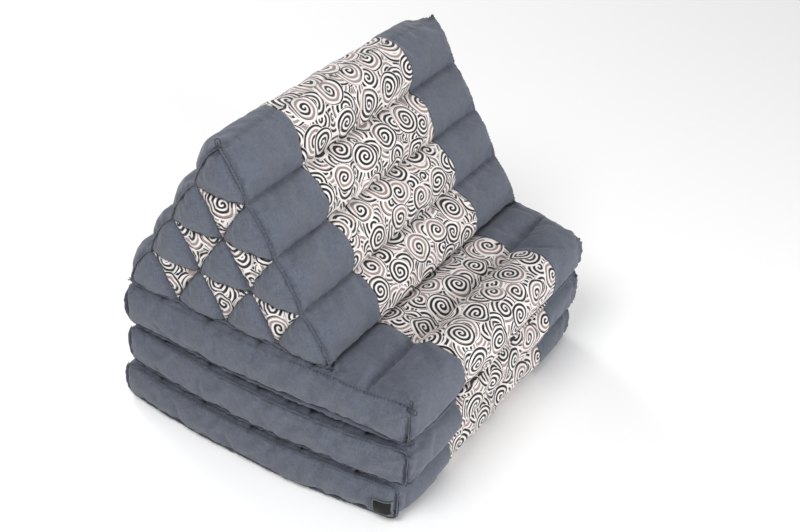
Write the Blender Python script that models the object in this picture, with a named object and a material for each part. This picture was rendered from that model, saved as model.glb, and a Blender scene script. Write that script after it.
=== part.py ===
"""Thai triangle cushion with three fold-out mats, folded up.

A wedge of ten filled tubes stands on a zigzag of three filled mats. Grey cotton covers the two ends of
every piece, and a band of printed cotton runs round the middle. Each filled body is cut at the seams of
its panels, so the grey ends and the printed band are solids of their own.
Metres, +Z up. X runs along the tubes, and -Y is the front of the seat. The origin is on the floor, under
the middle of the cushion.
"""

import math
from collections import namedtuple

import bmesh
import bpy
import numpy as np

# Driving sizes
SEAM_WIDTH = 0.520  # between the two end seams, along X
BAND_WIDTH = 0.276  # printed band
TUBE_ROWS = 4  # rows of tubes in the wedge: one, two, three and four tubes
WEDGE_BASE = 0.346
WEDGE_HEIGHT = 0.277
WEDGE_BACK = 0.2325  # Y of the wedge's lower back seam
SEAM_DEPTH = 0.482  # of a mat, from its front seam to its back seam
CHANNEL = 0.0865  # pitch of a mat's inner channels
PIECE_GAP = 0.0003  # between two pieces that touch

HALF_SEAM = SEAM_WIDTH / 2
HALF_BAND = BAND_WIDTH / 2
HALF_DEPTH = SEAM_DEPTH / 2

# The three mats, bottom to top. Each was laid a little out of line with its neighbours. bow is how far
# the middle of an end stands out past its corners, skew the same for its back corner past its front one.
Mat = namedtuple("Mat", "name low top shift_x shift_y turn_deg bow skew crowns")
MATS = (
    Mat("bottom", 0.0, 0.0660, 0.0, 0.0075, -0.5, 0.019, 0.008, (0.006, 0.006, 0.005, 0.005, 0.006, 0.005)),
    Mat("middle", 0.0663, 0.1390, 0.0, -0.0010, 0.0, 0.016, 0.003, (0.006, 0.006, 0.007, 0.006, 0.007, 0.006)),
    Mat("top", 0.1393, 0.2135, 0.0, 0.0, 0.0, 0.011, 0.003, (0.007, 0.007, 0.008, 0.007, 0.008, 0.007)),
)
BACK_FREE, FRONT_FREE = 0, 5  # the crowns' first and last columns are the edge channels
INNER_CHANNELS = 4
TOP_STEPS = 4  # straight steps across an inner channel
WRAP_STEPS = 10  # straight steps round the edge of an edge channel
GROOVE = 0.0062  # how far the channel seams lie below the pressed faces
FREE_RISE = 0.0040  # how far the top mat's bare front channel stands above its pressed ones

# Sections of a mat's end, from the middle of its side panel inwards. outset is measured from the end
# seam, reach is half the depth, thin is what the section lacks in half thickness, crown and squareness
# shape its channels and its corners, and bow is its share of the mat's bow.
MatRing = namedtuple("MatRing", "outset reach thin crown squareness bow")
MAT_END = (
    MatRing(0.0095, HALF_DEPTH - 0.0190, 0.0240, 0.0, 4.0, 1.0),
    MatRing(0.0080, HALF_DEPTH - 0.0100, 0.0140, 0.0, 4.0, 1.0),
    MatRing(0.0000, HALF_DEPTH, 0.0050, 0.1, 5.0, 1.0),
    MatRing(-0.0080, HALF_DEPTH + 0.0015, 0.0025, 0.4, 3.6, 0.8),
    MatRing(-0.0240, HALF_DEPTH + 0.0025, 0.0008, 0.8, 2.9, 0.5),
    MatRing(-0.0500, HALF_DEPTH + 0.0030, 0.0000, 1.0, 2.6, 0.2),
    MatRing(HALF_BAND + PIECE_GAP / 2 - HALF_SEAM, HALF_DEPTH + 0.0030, 0.0000, 1.0, 2.6, 0.0),
)

SIDE_PANEL = MAT_END[2::-1]  # from the end seam outwards

# Wedge
WEDGE_LOW = MATS[-1].top + PIECE_GAP
SEAM_LIFT = 0.0030  # of the wedge's lower seams above its flat underside
TUBE_STEPS = 5  # straight steps across a tube
SLOPE_SAG = 0.0060  # bow of a tube's outer edge at the end seam
FLOOR_SAG = 0.0070  # bow of a tube's lower edge at the end seam
INNER_SAG = 0.0030  # bow of the seams inside the end
END_CROWN = 0.0095  # how far a grey tube end swells
CROWN_POWER = 0.6

# Sections of the wedge's end, from its end seam inwards: bow is the tubes' bow, draw is how far their
# creases are drawn in, and ridge is how far the top edge is rounded off.
WedgeRing = namedtuple("WedgeRing", "outset bow draw ridge")
WEDGE_END = (
    WedgeRing(0.0000, SLOPE_SAG, 0.0000, 0.0000),
    WedgeRing(-0.0060, 0.0095, 0.0008, 0.0005),
    WedgeRing(-0.0200, 0.0125, 0.0018, 0.0025),
    WedgeRing(-0.0500, 0.0140, 0.0025, 0.0045),
    WedgeRing(HALF_BAND + PIECE_GAP / 2 - HALF_SEAM, 0.0140, 0.0025, 0.0045),
)

# Printed triangles between the tube ends
PATCH_SCALE = 0.965
PATCH_THICKNESS = 0.0015
PATCH_CROWN = 0.0030

# Cloth hinges, each a folded strip sewn into the crease between two pieces. The profile gives its half
# thickness at shares of the way from its inner edge to its fold.
HINGE_PROFILE = ((0.0, 0.0008), (0.5, 0.0015), (0.85, 0.0024), (1.0, 0.0011))
HINGE_HALF_LENGTH = HALF_SEAM - 0.030
Hinge = namedtuple("Hinge", "name inner_y inner_z fold_y fold_z")
HINGES = (
    Hinge("front", -0.2325, 0.1391, -0.2440, 0.1391),
    Hinge("back", 0.2365, 0.0672, 0.2480, 0.0690),
    Hinge("wedge", 0.2265, 0.2143, 0.2385, 0.2150),
)

# Woven side label on the bottom mat, beside its front corner
LABEL_DEPTH = 0.027
LABEL_HEIGHT = 0.025
LABEL_THICKNESS = 0.0012
LABEL_STANDOFF = 0.0010
LABEL_MIDDLE = (-0.2210, 0.0300)  # Y and Z
LABEL_STEPS = 8

# Finishes: sRGB colour, and roughness
GREY_COTTON = ("#5c6471", 0.90)
PRINTED_COTTON = ("#bdb2ae", 0.88)
LABEL_SATIN = ("#24282b", 0.55)


def clear_scene():
    for thing in list(bpy.data.objects):
        bpy.data.objects.remove(thing, do_unlink=True)


def linear(hex_colour):
    """A linear RGBA colour from an sRGB hex value."""
    channels = [int(hex_colour[i : i + 2], 16) / 255 for i in (1, 3, 5)]
    return [c / 12.92 if c <= 0.04045 else ((c + 0.055) / 1.055) ** 2.4 for c in channels] + [1.0]


def cloth_material(name, finish):
    hex_colour, roughness = finish
    material = bpy.data.materials.new(name)
    material.use_nodes = True
    shader = material.node_tree.nodes["Principled BSDF"]
    shader.inputs["Base Color"].default_value = linear(hex_colour)
    shader.inputs["Roughness"].default_value = roughness
    shader.inputs["Metallic"].default_value = 0.0
    material.diffuse_color = linear(hex_colour)
    return material


def make_object(name, bm, material, collection):
    """Welds a mesh, turns its faces outwards and links it as one object."""
    bmesh.ops.remove_doubles(bm, verts=bm.verts, dist=0.00001)
    bmesh.ops.recalc_face_normals(bm, faces=bm.faces)
    mesh = bpy.data.meshes.new(name)
    bm.to_mesh(mesh)
    bm.free()
    mesh.shade_smooth()
    mesh.set_sharp_from_angle(angle=math.radians(40))
    mesh.materials.append(material)
    made = bpy.data.objects.new(name, mesh)
    collection.objects.link(made)
    return made


def add_ring(bm, x, section):
    return [bm.verts.new((x, y, z)) for y, z in section]


def loft(bm, rings):
    """Quads between rings of equally many vertices, one after another."""
    for ring, after in zip(rings, rings[1:]):
        count = len(ring)
        for i in range(count):
            j = (i + 1) % count
            bm.faces.new((ring[i], ring[j], after[j], after[i]))


def bowed(start, end, sag, share):
    """A point at that share of the way, on a seam that bows out to the right of start to end."""
    (y0, z0), (y1, z1) = start, end
    dy, dz = y1 - y0, z1 - z0
    length = math.hypot(dy, dz)
    bow = 4 * sag * share * (1 - share) / length
    return y0 + dy * share + dz * bow, z0 + dz * share - dy * bow


# Wedge


def tube_node(row, place, ring):
    """Where four tubes meet in the wedge's section, or the corner of one. place counts from the front."""
    pitch = WEDGE_BASE / TUBE_ROWS
    y = WEDGE_BACK - WEDGE_BASE / 2 + pitch * (place - row / 2)
    base = WEDGE_LOW + SEAM_LIFT
    height = WEDGE_HEIGHT - SEAM_LIFT - ring.ridge * (row == 0)
    z = base + height * (1 - row / TUBE_ROWS)
    if row in (0, TUBE_ROWS):
        return y, z
    inward = ring.draw * ((place == 0) - (place == row))
    return y + inward, z - ring.draw / 2


def wedge_outline(ring):
    """The wedge's section: four bowed tubes down the front, four flattened ones below, four up the back."""
    rows = range(TUBE_ROWS)
    nodes = [(row, 0) for row in rows]
    nodes += [(TUBE_ROWS, place) for place in rows]
    nodes += [(TUBE_ROWS - row, TUBE_ROWS - row) for row in rows]
    outline = []
    for a, b in zip(nodes, nodes[1:] + nodes[:1]):
        floor = a[0] == TUBE_ROWS and b[0] == TUBE_ROWS
        sag = FLOOR_SAG if floor else ring.bow
        ends = tube_node(*a, ring), tube_node(*b, ring)
        points = [bowed(*ends, sag, step / TUBE_STEPS) for step in range(TUBE_STEPS)]
        outline += [(y, max(z, WEDGE_LOW)) for y, z in points]
    return outline


def cell_grid(bm, corners, sags, side, scale, crown, base_x):
    """A three-cornered patch of the wedge's end with bowed edges. It swells along X."""
    middle_y = sum(y for y, _ in corners) / 3
    middle_z = sum(z for _, z in corners) / 3
    grid = {}
    for i in range(TUBE_STEPS + 1):
        for j in range(TUBE_STEPS + 1 - i):
            share = ((TUBE_STEPS - i - j) / TUBE_STEPS, i / TUBE_STEPS, j / TUBE_STEPS)
            y = sum(w * corner[0] for w, corner in zip(share, corners))
            z = sum(w * corner[1] for w, corner in zip(share, corners))
            for k, sag in enumerate(sags):
                along = share[k] + share[(k + 1) % 3]
                if along == 0:
                    continue
                ends = corners[k], corners[(k + 1) % 3]
                part = share[(k + 1) % 3] / along
                bow_y, bow_z = bowed(*ends, sag, part)
                flat_y, flat_z = bowed(*ends, 0, part)
                y += (bow_y - flat_y) * along**2
                z += (bow_z - flat_z) * along**2
            z = max(z, WEDGE_LOW)
            swell = crown * (27 * share[0] * share[1] * share[2]) ** CROWN_POWER
            grid[i, j] = bm.verts.new(
                (
                    side * (base_x + swell),
                    middle_y + (y - middle_y) * scale,
                    middle_z + (z - middle_z) * scale,
                )
            )
    for i in range(TUBE_STEPS):
        for j in range(TUBE_STEPS - i):
            bm.faces.new((grid[i, j], grid[i + 1, j], grid[i, j + 1]))
            if i + j < TUBE_STEPS - 1:
                bm.faces.new((grid[i + 1, j], grid[i + 1, j + 1], grid[i, j + 1]))
    return grid


def upright_cells():
    """Corners and bows of the ten tube ends: top, lower front and lower back."""
    for row in range(TUBE_ROWS):
        for place in range(row + 1):
            nodes = (row, place), (row + 1, place), (row + 1, place + 1)
            sags = (
                SLOPE_SAG if place == 0 else INNER_SAG,
                FLOOR_SAG,
                SLOPE_SAG if place == row else INNER_SAG,
            )
            yield nodes, sags


def hanging_cells():
    """Corners and bows of the six printed triangles: upper front, upper back and lower tip."""
    for row in range(1, TUBE_ROWS):
        for place in range(row):
            nodes = (row, place), (row, place + 1), (row + 1, place + 1)
            yield nodes, (FLOOR_SAG, INNER_SAG, INNER_SAG)


def build_wedge_end(name, side, material, collection):
    """A grey end of the wedge: tube ends that swell, flats behind the printed triangles, and the tubes."""
    bm = bmesh.new()
    rings = [add_ring(bm, side * (HALF_SEAM + ring.outset), wedge_outline(ring)) for ring in WEDGE_END]
    loft(bm, rings)
    bm.faces.new(rings[-1])
    seam = WEDGE_END[0]
    for cells, crown in ((upright_cells(), END_CROWN), (hanging_cells(), 0.0)):
        for nodes, sags in cells:
            corners = [tube_node(*node, seam) for node in nodes]
            cell_grid(bm, corners, sags, side, 1.0, crown, HALF_SEAM)
    return make_object(name, bm, material, collection)


def build_wedge_band(name, material, collection):
    bm = bmesh.new()
    inner = HALF_BAND - PIECE_GAP / 2
    rings = [add_ring(bm, x, wedge_outline(WEDGE_END[-1])) for x in (-inner, inner)]
    loft(bm, rings)
    bm.faces.new(rings[0])
    bm.faces.new(rings[1])
    return make_object(name, bm, material, collection)


def build_patch(name, side, nodes, sags, material, collection):
    """A printed triangle: thin cloth over the gap between three tube ends, a little swollen."""
    bm = bmesh.new()
    corners = [tube_node(*node, WEDGE_END[0]) for node in nodes]
    face_x = HALF_SEAM + PIECE_GAP
    backs = cell_grid(bm, corners, sags, side, PATCH_SCALE, 0.0, face_x)
    fronts = cell_grid(bm, corners, sags, side, PATCH_SCALE, PATCH_CROWN, face_x + PATCH_THICKNESS)
    last = TUBE_STEPS
    rim = [(i, 0) for i in range(last)]
    rim += [(last - i, i) for i in range(last)]
    rim += [(0, last - i) for i in range(last)]
    loft(bm, [[backs[key] for key in rim], [fronts[key] for key in rim]])
    return make_object(name, bm, material, collection)


def build_wedge(grey, printed, collection):
    build_wedge_band("wedge_band", printed, collection)
    for side, end in ((-1, "left"), (1, "right")):
        build_wedge_end(f"wedge_{end}", side, grey, collection)
        for nodes, sags in hanging_cells():
            row, place = nodes[0]
            name = f"patch_{end}_{row}_{place + 1}"
            build_patch(name, side, nodes, sags, printed, collection)


# Mats


def mat_section(mat, ring):
    """A mat's section: channels over the top, round the front, back underneath and up round the back."""
    middle = (mat.low + mat.top) / 2
    half = (mat.top - mat.low) / 2 - ring.thin
    groove = GROOVE * ring.crown
    inner = CHANNEL * INNER_CHANNELS / 2
    crest = inner + CHANNEL / 2
    power = 2 / ring.squareness
    section = []

    def swollen(column, share, limit):
        """Height over a channel, at that share of its way from seam to seam."""
        swell = (groove + mat.crowns[column] * ring.crown) * math.sin(math.pi * share)
        return min(half - groove + swell, limit)

    def across(direction):
        """The inner channels of the top (1, front-going) or the underside (-1, back-going)."""
        for channel in range(INNER_CHANNELS):
            column = channel + 1 if direction == 1 else INNER_CHANNELS - channel
            for step in range(TOP_STEPS):
                y = direction * (inner - CHANNEL * (channel + step / TOP_STEPS))
                section.append((y, middle + direction * swollen(column, step / TOP_STEPS, half)))

    def wrap(direction, column):
        """The edge channel at the front (-1, downwards) or at the back (1, upwards)."""
        bare = (mat.name, column) == ("top", FRONT_FREE)
        before, after = half + FREE_RISE * ring.crown * bare, half
        near = [(inner + CHANNEL * step / TOP_STEPS, step / TOP_STEPS) for step in range(TOP_STEPS // 2)]
        reach = ring.reach + mat.crowns[column] * ring.crown - crest
        for y, share in near:
            section.append((direction * y, middle - direction * swollen(column, share, before)))
        for step in range(WRAP_STEPS + 1):
            turn = math.pi / 2 - math.pi * step / WRAP_STEPS
            out = crest + reach * abs(math.cos(turn)) ** power
            up = (before if turn > 0 else after) * abs(math.sin(turn)) ** power
            section.append((direction * out, middle - direction * math.copysign(up, turn)))
        for y, share in near[:0:-1]:
            section.append((direction * y, middle + direction * swollen(column, share, after)))

    across(1)
    wrap(-1, FRONT_FREE)
    across(-1)
    wrap(1, BACK_FREE)
    return section


def place_mat(piece, mat):
    piece.location = (mat.shift_x, mat.shift_y, 0)
    piece.rotation_euler.z = math.radians(mat.turn_deg)


def end_bow(mat, y):
    """How far a mat's end stands out past its front corner, at that depth."""
    along = max(-1, min(1, y / HALF_DEPTH))
    return mat.bow * (1 - along**2) + mat.skew * (1 + along) / 2


def add_mat_ring(bm, mat, ring, side):
    made = []
    for y, z in mat_section(mat, ring):
        x = HALF_SEAM + ring.outset + end_bow(mat, y) * ring.bow
        made.append(bm.verts.new((side * x, y, z)))
    return made


def close_end(bm, ring):
    """Faces straight across the middle of a side panel, from its upper edge to its lower one."""
    front = INNER_CHANNELS * TOP_STEPS + TOP_STEPS // 2 + WRAP_STEPS // 2
    count = len(ring)
    for k in range(count // 2):
        upper = ring[front - k], ring[front - k - 1]
        lower = ring[(front + k + 1) % count], ring[(front + k) % count]
        bm.faces.new(list(dict.fromkeys(upper + lower)))


def build_mat(mat, grey, printed, collection):
    inner = HALF_BAND - PIECE_GAP / 2
    bm = bmesh.new()
    rings = [add_ring(bm, x, mat_section(mat, MAT_END[-1])) for x in (-inner, inner)]
    loft(bm, rings)
    bm.faces.new(rings[0])
    bm.faces.new(rings[1])
    place_mat(make_object(f"mat_{mat.name}_band", bm, printed, collection), mat)
    for side, end in ((-1, "left"), (1, "right")):
        bm = bmesh.new()
        rings = [add_mat_ring(bm, mat, ring, side) for ring in MAT_END]
        loft(bm, rings)
        close_end(bm, rings[0])
        bm.faces.new(rings[-1])
        place_mat(make_object(f"mat_{mat.name}_{end}", bm, grey, collection), mat)


# Hinges and label


def hinge_section(hinge):
    """A strip of cloth folded over once: thin at its inner edge, thicker at its fold."""
    dy, dz = hinge.fold_y - hinge.inner_y, hinge.fold_z - hinge.inner_z
    length = math.hypot(dy, dz)
    lower, upper = [], []
    for share, half in HINGE_PROFILE:
        y, z = hinge.inner_y + dy * share, hinge.inner_z + dz * share
        lower.append((y + dz / length * half, z - dy / length * half))
        upper.append((y - dz / length * half, z + dy / length * half))
    return lower + upper[::-1]


def build_hinges(grey, printed, collection):
    inner = HALF_BAND - PIECE_GAP / 2
    outer = HALF_BAND + PIECE_GAP / 2
    spans = (
        ("left", -HINGE_HALF_LENGTH, -outer, grey),
        ("band", -inner, inner, printed),
        ("right", outer, HINGE_HALF_LENGTH, grey),
    )
    for hinge in HINGES:
        for part, start, end, material in spans:
            bm = bmesh.new()
            rings = [add_ring(bm, x, hinge_section(hinge)) for x in (start, end)]
            loft(bm, rings)
            bm.faces.new(rings[0])
            bm.faces.new(rings[1])
            make_object(f"hinge_{hinge.name}_{part}", bm, material, collection)


def side_panel_outset(mat, y, z):
    """How far a mat's side panel swells past its end seam, at that depth and height."""
    half = (mat.top - mat.low) / 2
    insets_y = [HALF_DEPTH - ring.reach for ring in SIDE_PANEL]
    insets_z = [ring.thin - SIDE_PANEL[0].thin for ring in SIDE_PANEL]
    outsets = [ring.outset for ring in SIDE_PANEL]
    inset_y = HALF_DEPTH - abs(y)
    inset_z = half - SIDE_PANEL[0].thin - abs(z - mat.low - half)
    return min(np.interp(inset_y, insets_y, outsets), np.interp(inset_z, insets_z, outsets))


def build_label(material, collection):
    """A small blank label, sewn on the swell of the bottom mat's side panel."""
    mat = MATS[0]
    middle_y, middle_z = LABEL_MIDDLE
    bm = bmesh.new()
    rings = []
    for across in range(LABEL_STEPS + 1):
        y = middle_y + LABEL_DEPTH * (across / LABEL_STEPS - 0.5)
        front, back = [], []
        for step in range(LABEL_STEPS + 1):
            z = middle_z + LABEL_HEIGHT * (step / LABEL_STEPS - 0.5)
            x = HALF_SEAM + end_bow(mat, y) + side_panel_outset(mat, y, z) + LABEL_STANDOFF
            back.append(bm.verts.new((-x, y, z)))
            front.append(bm.verts.new((-x - LABEL_THICKNESS, y, z)))
        rings.append(back + front[::-1])
    loft(bm, rings)
    bm.faces.new(rings[0])
    bm.faces.new(rings[-1])
    place_mat(make_object("side_label", bm, material, collection), mat)


def centre(collection):
    """Moves every piece alike, so that the origin is under the middle of the cushion."""
    bpy.context.view_layer.update()
    corners = [piece.matrix_world @ v.co for piece in collection.objects for v in piece.data.vertices]
    for axis in (0, 1):
        values = [corner[axis] for corner in corners]
        middle = (min(values) + max(values)) / 2
        for piece in collection.objects:
            piece.location[axis] -= middle


def main():
    clear_scene()
    collection = bpy.data.collections.new("thai_triangle_cushion")
    bpy.context.scene.collection.children.link(collection)
    grey = cloth_material("grey_cotton", GREY_COTTON)
    printed = cloth_material("printed_cotton", PRINTED_COTTON)
    satin = cloth_material("label_satin", LABEL_SATIN)
    build_wedge(grey, printed, collection)
    for mat in MATS:
        build_mat(mat, grey, printed, collection)
    build_hinges(grey, printed, collection)
    build_label(satin, collection)
    centre(collection)


main()
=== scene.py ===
"""Looks of the thai triangle cushion: a wedge of ten filled tubes on a zigzag of three filled mats.

Metres, +Z up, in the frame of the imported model. X runs along the tubes, and -Y is the front of the seat.
"""

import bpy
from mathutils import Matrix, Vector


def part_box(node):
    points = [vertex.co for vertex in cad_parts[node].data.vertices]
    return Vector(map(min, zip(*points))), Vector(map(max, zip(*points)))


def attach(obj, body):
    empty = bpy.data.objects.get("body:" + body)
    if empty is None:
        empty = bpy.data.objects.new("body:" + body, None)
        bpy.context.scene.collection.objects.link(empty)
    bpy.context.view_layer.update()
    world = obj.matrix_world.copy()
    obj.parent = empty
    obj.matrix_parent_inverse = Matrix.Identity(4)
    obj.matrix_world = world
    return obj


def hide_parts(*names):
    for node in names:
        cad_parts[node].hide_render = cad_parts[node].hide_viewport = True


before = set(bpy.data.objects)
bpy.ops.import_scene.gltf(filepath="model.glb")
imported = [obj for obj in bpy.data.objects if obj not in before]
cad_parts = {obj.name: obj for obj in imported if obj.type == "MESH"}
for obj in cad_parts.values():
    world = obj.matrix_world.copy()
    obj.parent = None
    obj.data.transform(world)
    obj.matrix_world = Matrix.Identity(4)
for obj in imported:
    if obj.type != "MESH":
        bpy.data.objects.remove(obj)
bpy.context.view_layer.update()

import math
from collections import namedtuple

import bmesh
import bpy
import numpy as np
from mathutils import Matrix, Vector, noise

# Studio: a matt off-white floor under a bright, even sky, with a large soft lamp above the seat and a
# smaller one at the cushion's near end. The camera looks down on the near end and the seat.


def linear(hex_colour):
    """A linear RGBA colour from an sRGB hex value."""
    channels = [int(hex_colour[i : i + 2], 16) / 255 for i in (1, 3, 5)]
    return [c / 12.92 if c <= 0.04045 else ((c + 0.055) / 1.055) ** 2.4 for c in channels] + [1.0]


def add_node(tree, kind, inputs=None, **settings):
    """Adds a shader node. inputs maps a socket's name or number to a value or to another node's output."""
    node = tree.nodes.new(kind)
    for name, value in settings.items():
        setattr(node, name, value)
    for key, value in (inputs or {}).items():
        if isinstance(value, bpy.types.NodeSocket):
            tree.links.new(value, node.inputs[key])
        else:
            node.inputs[key].default_value = value
    return node


def link_object(name, mesh):
    made = bpy.data.objects.new(name, mesh)
    bpy.context.scene.collection.objects.link(made)
    return made


CAMERA_PLACE = (-1.31766, -0.84164, 1.26142)
CAMERA_RIGHT = (0.53307, -0.84497, 0.04317)
CAMERA_UP = (0.45962, 0.33205, 0.82370)
CAMERA_BACK = (-0.71034, -0.41925, 0.56537)
CAMERA_LENS = 55.96  # mm, on a 36 mm sensor

camera_data = bpy.data.cameras.new("camera")
camera_data.lens = CAMERA_LENS
camera_data.sensor_width = 36
camera = link_object("camera", camera_data)
camera.matrix_world = Matrix.Translation(CAMERA_PLACE) @ Matrix(
    (CAMERA_RIGHT, CAMERA_UP, CAMERA_BACK)
).transposed().to_4x4()
bpy.context.scene.camera = camera

FLOOR_SIZE = 14.0
FLOOR_COLOUR = "#fbfbfb"

floor_material = bpy.data.materials.new("matt_studio_floor")
floor_material.use_nodes = True
floor_shader = floor_material.node_tree.nodes["Principled BSDF"]
floor_shader.inputs["Base Color"].default_value = linear(FLOOR_COLOUR)
floor_shader.inputs["Roughness"].default_value = 1.0
floor_shader.inputs["Specular IOR Level"].default_value = 0.0
floor_bm = bmesh.new()
bmesh.ops.create_grid(floor_bm, x_segments=1, y_segments=1, size=FLOOR_SIZE / 2)
floor_mesh = bpy.data.meshes.new("studio_floor")
floor_bm.to_mesh(floor_mesh)
floor_bm.free()
floor_mesh.materials.append(floor_material)
link_object("studio_floor", floor_mesh)

SKY_COLOUR = "#ffffff"
SKY_STRENGTH = 0.53
# name, place, watts, metres across
LAMPS = (
    ("top_lamp", (-1.2, -0.1, 1.9), 25, 1.0),
    ("front_lamp", (-0.9, -3.1, 0.6), 66, 0.9),
    ("back_lamp", (1.6, 3.8, 2.6), 80, 2.0),
)

sky = bpy.data.worlds.new("studio_sky")
sky.use_nodes = True
sky.node_tree.nodes["Background"].inputs["Color"].default_value = linear(SKY_COLOUR)
sky.node_tree.nodes["Background"].inputs["Strength"].default_value = SKY_STRENGTH
bpy.context.scene.world = sky
bpy.context.scene.view_settings.view_transform = "Standard"
for lamp_name, lamp_place, watts, across in LAMPS:
    lamp_data = bpy.data.lights.new(lamp_name, "AREA")
    lamp_data.shape = "DISK"
    lamp_data.energy = watts
    lamp_data.size = across
    lamp = link_object(lamp_name, lamp_data)
    lamp.location = lamp_place
    lamp.rotation_mode = "QUATERNION"
    lamp.rotation_quaternion = (Vector((0, 0, 0.2)) - Vector(lamp_place)).to_track_quat("-Z", "Y")

# Mats: three flat cushions of cotton, each stuffed with kapok in six channels that run from end to end.
# The channels are sewn through, and the two ends are closed by long side panels. Grey cotton covers the
# ends, and a band of printed cotton runs round the middle.

SEAM_WIDTH = 0.520  # between the two end seams, along X
BAND_WIDTH = 0.276  # printed band
HALF_SEAM = SEAM_WIDTH / 2
HALF_BAND = BAND_WIDTH / 2
HALF_DEPTH = 0.241  # from the middle of a mat to its front seam
CHANNEL = 0.0865  # pitch of the inner channels
INNER_CHANNELS = 4
GROOVE = 0.0062  # how far the channel seams lie below the pressed faces
FREE_RISE = 0.0040  # how far the bare front channel of the top mat stands above its pressed ones

Mat = namedtuple("Mat", "name low top shift_x shift_y turn_deg bow skew crowns")
MATS = (
    Mat("bottom", 0.0, 0.0660, 0.0, 0.0075, -0.5, 0.019, 0.008, (0.006, 0.006, 0.005, 0.005, 0.006, 0.005)),
    Mat("middle", 0.0663, 0.1390, 0.0, -0.0010, 0.0, 0.016, 0.003, (0.006, 0.006, 0.007, 0.006, 0.007, 0.006)),
    Mat("top", 0.1393, 0.2135, 0.0, 0.0, 0.0, 0.011, 0.003, (0.007, 0.007, 0.008, 0.007, 0.008, 0.007)),
)
MAT_REACH = 0.0030 + 0.0070  # of the top mat's band past its front and back seams
# The frame's origin is under the middle of the cushion, and the sizes above are from its printed band.
SHIFT = Vector(
    (
        sum(corner.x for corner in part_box("wedge_band")) / 2,
        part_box("mat_top_band")[1].y - HALF_DEPTH - MAT_REACH,
        0,
    )
)

# Sections of a mat's end: outset from the end seam, half depth, what it lacks in half thickness, and its
# shares of the crown, the squareness of the edge and the bow.
MAT_SECTIONS = np.array(
    (
        (-HALF_SEAM, HALF_DEPTH + 0.0030, 0.0000, 1.0, 2.6, 0.0),
        (-HALF_SEAM + HALF_BAND, HALF_DEPTH + 0.0030, 0.0000, 1.0, 2.6, 0.0),
        (-0.0500, HALF_DEPTH + 0.0030, 0.0000, 1.0, 2.6, 0.2),
        (-0.0240, HALF_DEPTH + 0.0025, 0.0008, 0.8, 2.9, 0.5),
        (-0.0080, HALF_DEPTH + 0.0015, 0.0025, 0.4, 3.6, 0.8),
        (0.0000, HALF_DEPTH, 0.0050, 0.1, 5.0, 1.0),
    )
)
PANEL_SWELL = 0.0095  # of a side panel past its end seam
PANEL_RIM = 0.0240  # how far in from its seams the panel reaches that swell

GREY_STEPS, BAND_STEPS = 22, 48  # across each part of a mat, along X
CHANNEL_STEPS = 16  # across a channel
RIM_STEPS = 14  # from an outer channel seam to the box's edge
HEIGHT_STEPS = 12
X_STEPS = 2 * GREY_STEPS + BAND_STEPS
DEPTH_STEPS = 2 * RIM_STEPS + INNER_CHANNELS * CHANNEL_STEPS
WRAP_STEPS = 2 * RIM_STEPS + HEIGHT_STEPS
AROUND_STEPS = 2 * (DEPTH_STEPS + HEIGHT_STEPS)

X_STATIONS = np.interp(
    range(X_STEPS + 1),
    (0, GREY_STEPS, GREY_STEPS + BAND_STEPS, X_STEPS),
    (-HALF_SEAM, -HALF_BAND, HALF_BAND, HALF_SEAM),
)


def spaced(points, steps):
    """Points at equal distances along a line, without its last one."""
    points = np.array(points)
    along = np.concatenate(([0], np.cumsum(np.linalg.norm(np.diff(points, axis=0), axis=1))))
    wanted = np.linspace(0, along[-1], steps + 1)[:-1]
    return np.stack([np.interp(wanted, along, points[:, axis]) for axis in (0, 1)], axis=1)


def mat_section(mat, outset):
    """A mat's section as evenly spaced points: top, front, underside and back."""
    reach, thin, crown, squareness = (
        np.interp(outset, MAT_SECTIONS[:, 0], MAT_SECTIONS[:, column]) for column in range(1, 5)
    )
    middle = (mat.low + mat.top) / 2
    half = (mat.top - mat.low) / 2 - thin
    groove = GROOVE * crown
    inner = CHANNEL * INNER_CHANNELS / 2
    crest = inner + CHANNEL / 2
    shares = np.linspace(0, 1, 33)
    near = shares[:16]
    turn = np.linspace(math.pi / 2, -math.pi / 2, 241)
    power = 2 / squareness
    parts = []

    def swollen(column, share, limit):
        return np.minimum(half - groove + (groove + mat.crowns[column] * crown) * np.sin(math.pi * share), limit)

    def across(direction):
        for channel in range(INNER_CHANNELS):
            column = channel + 1 if direction == 1 else INNER_CHANNELS - channel
            y = direction * (inner - CHANNEL * (channel + shares))
            z = direction * swollen(column, shares, half)
            parts.append(spaced(np.stack((y, z), axis=1), CHANNEL_STEPS))

    def wrap(direction, column):
        before = half + FREE_RISE * crown * (mat.name == "top" and direction == -1)
        out = crest + (reach + mat.crowns[column] * crown - crest) * np.abs(np.cos(turn)) ** power
        up = np.where(turn > 0, before, half) * np.abs(np.sin(turn)) ** power
        y = np.concatenate((inner + CHANNEL * near, out, inner + CHANNEL * near[::-1]))
        z = np.concatenate((swollen(column, near, before), np.copysign(up, turn), -swollen(column, near[::-1], half)))
        parts.append(spaced(np.stack((direction * y, -direction * z), axis=1), WRAP_STEPS))

    across(1)
    wrap(-1, -1)
    across(-1)
    wrap(1, 0)
    return np.roll(np.concatenate(parts), RIM_STEPS, axis=0) + (0, middle)


def end_bow(mat, y):
    """How far a mat's end stands out past its front corner, at that depth."""
    along = np.clip(y / HALF_DEPTH, -1, 1)
    return mat.bow * (1 - along**2) + mat.skew * (1 + along) / 2


def panel_swell(mat, y, z):
    """How far a mat's side panel stands out past its seams, at that depth and height."""
    half = (mat.top - mat.low) / 2 - MAT_SECTIONS[-1, 2]
    inset = np.minimum(HALF_DEPTH - np.abs(y), half - np.abs(z - (mat.low + mat.top) / 2))
    return np.interp(inset, (0, PANEL_RIM / 2.6, PANEL_RIM), (0, 0.85 * PANEL_SWELL, PANEL_SWELL))


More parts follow.
